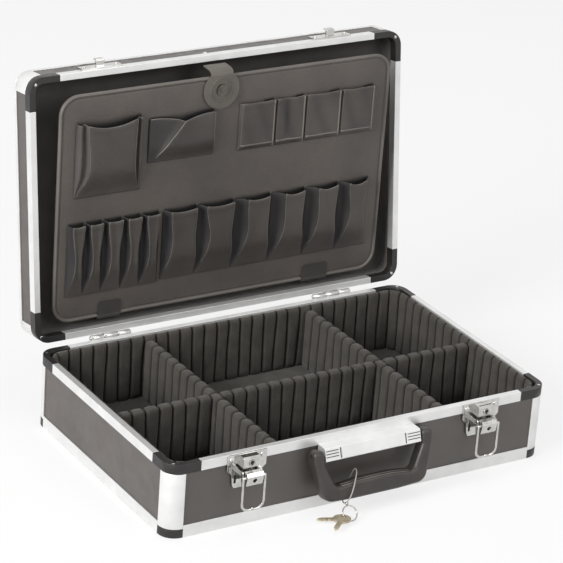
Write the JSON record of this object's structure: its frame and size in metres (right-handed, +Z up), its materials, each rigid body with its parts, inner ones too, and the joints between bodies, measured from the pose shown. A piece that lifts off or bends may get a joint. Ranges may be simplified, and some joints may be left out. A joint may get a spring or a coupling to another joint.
{
  "type": "tool case",
  "caption": "Aluminium-edged tool case with a hinged lid, draw latches, carrying handle, foam compartments with dividers and a pocketed tool pallet in the lid.",
  "frame": {"origin": "centre of the underside of the base", "axes": "+X to the right along the width, the front with handle and latches faces -Y, +Z up"},
  "size_m": [0.425, 0.392, 0.3529],
  "materials": {
    "panel": "fine-grained laminate on board",
    "aluminium": "satin anodised",
    "corner_plastic": "moulded",
    "foam": "ribbed foam",
    "bright_steel": "nickel plated",
    "lock_metal": "nickel plated",
    "handle_plastic": "moulded",
    "lining": "felt",
    "leatherette": "grained leatherette",
    "tie": "thin wire"
  },
  "bodies": {
    "base": {"base_bottom": "panel", "base_front": "panel", "base_back": "panel", "base_left": "panel", "base_right": "panel", "base_rim": "aluminium", "base_edge_strips": "aluminium", "base_posts": "aluminium", "base_rim_corners": "corner_plastic", "base_foot_caps": "corner_plastic", "foam_floor": "foam", "foam_liner_front": "foam", "foam_liner_back": "foam", "foam_liner_sides": "foam", "foam_liner_corners": "foam", "divider_long_left": "foam", "divider_long_right": "foam", "divider_cross_left": "foam", "divider_cross_middle": "foam", "divider_cross_right": "foam", "latch_plates": "bright_steel", "latch_pins": "bright_steel", "lock_cases": "bright_steel", "base_rivets": "bright_steel", "handle_bracket": "aluminium", "name_plate": "aluminium", "handle_pins": "bright_steel", "hinge_base_leaves": "bright_steel", "hinge_pins": "bright_steel"},
    "left_lever": {"lever_left": "bright_steel"},
    "right_lever": {"lever_right": "bright_steel"},
    "left_bail": {"bail_left": "bright_steel"},
    "right_bail": {"bail_right": "bright_steel"},
    "left_lock": {"lock_left": "lock_metal"},
    "right_lock": {"lock_right": "lock_metal"},
    "handle": {"handle": "handle_plastic"},
    "keys": {"key_tie": "tie", "key_ring": "lock_metal", "key_one": "lock_metal", "key_two": "lock_metal"},
    "lid": {"hinge_lid_leaves": "bright_steel", "lid_profiles": "aluminium", "lid_boards": "panel", "lid_panel": "panel", "lid_lining": "lining", "lid_posts": "aluminium", "lid_rim_corners": "corner_plastic", "lid_top_caps": "aluminium", "keepers": "bright_steel", "lid_rivets": "bright_steel"},
    "pallet_hinge": {"pallet_tabs": "leatherette"},
    "pallet": {"pallet_board": "leatherette", "pocket_large": "leatherette", "pocket_flap": "leatherette", "pockets_small": "leatherette", "pockets_narrow": "leatherette", "pockets_wide": "leatherette", "pallet_stud": "bright_steel"},
    "strap": {"strap": "leatherette", "strap_stud": "bright_steel"}
  },
  "joints": [
    {"name": "lid_hinge", "type": "hinge", "parent": "base", "child": "lid", "pos_m": [0, 0.1375, 0.07625], "axis": [-1, 0, 0], "range_deg": [-97, 0], "deforming": ["strap", "strap_stud", "pallet_tabs"]},
    {"name": "handle_swing", "type": "hinge", "parent": "base", "child": "handle", "pos_m": [0, -0.143, 0.06], "axis": [-1, 0, 0], "range_deg": [0, 80]},
    {"name": "key_swing", "type": "hinge", "parent": "handle", "child": "keys", "pos_m": [0, -0.15166, 0.02249], "axis": [-1, 0, 0], "range_deg": [-80, 0]},
    {"name": "left_lever_swing", "type": "hinge", "parent": "base", "child": "left_lever", "pos_m": [-0.1315, -0.144, 0.0595], "axis": [1, 0, 0], "range_deg": [-45, 0]},
    {"name": "left_bail_swing", "type": "hinge", "parent": "left_lever", "child": "left_bail", "pos_m": [-0.1315, -0.1495, 0.0575], "axis": [-1, 0, 0], "range_deg": [0, 200]},
    {"name": "left_lock_turn", "type": "hinge", "parent": "base", "child": "left_lock", "pos_m": [-0.1315, -0.1415, 0.069], "axis": [0, -1, 0], "range_deg": [0, 90]},
    {"name": "right_lever_swing", "type": "hinge", "parent": "base", "child": "right_lever", "pos_m": [0.1315, -0.144, 0.0595], "axis": [1, 0, 0], "range_deg": [-45, 0]},
    {"name": "right_bail_swing", "type": "hinge", "parent": "right_lever", "child": "right_bail", "pos_m": [0.1315, -0.1495, 0.0575], "axis": [-1, 0, 0], "range_deg": [0, 200]},
    {"name": "right_lock_turn", "type": "hinge", "parent": "base", "child": "right_lock", "pos_m": [0.1315, -0.1415, 0.069], "axis": [0, -1, 0], "range_deg": [0, 90]},
    {"name": "pallet_lean", "type": "hinge", "parent": "lid", "child": "pallet_hinge", "pos_m": [0, 0.15, 0.092], "axis": [-1, 0, 0], "range_deg": [0, 7]},
    {"name": "pallet_fold", "type": "hinge", "parent": "pallet_hinge", "child": "pallet", "pos_m": [0, 0.15, 0.092], "axis": [1, 0, 0], "range_deg": [0, 85]},
    {"name": "strap_lift", "type": "hinge", "parent": "pallet_hinge", "child": "strap", "pos_m": [0, 0.166, 0.3375], "axis": [-1, 0, 0], "range_deg": [0, 80]}
  ],
  "couplings": [
    {"joint": "key_swing", "follows": "handle_swing", "ratio": -1},
    {"joint": "pallet_lean", "follows": "lid_hinge", "ratio": -0.072165}
  ]
}
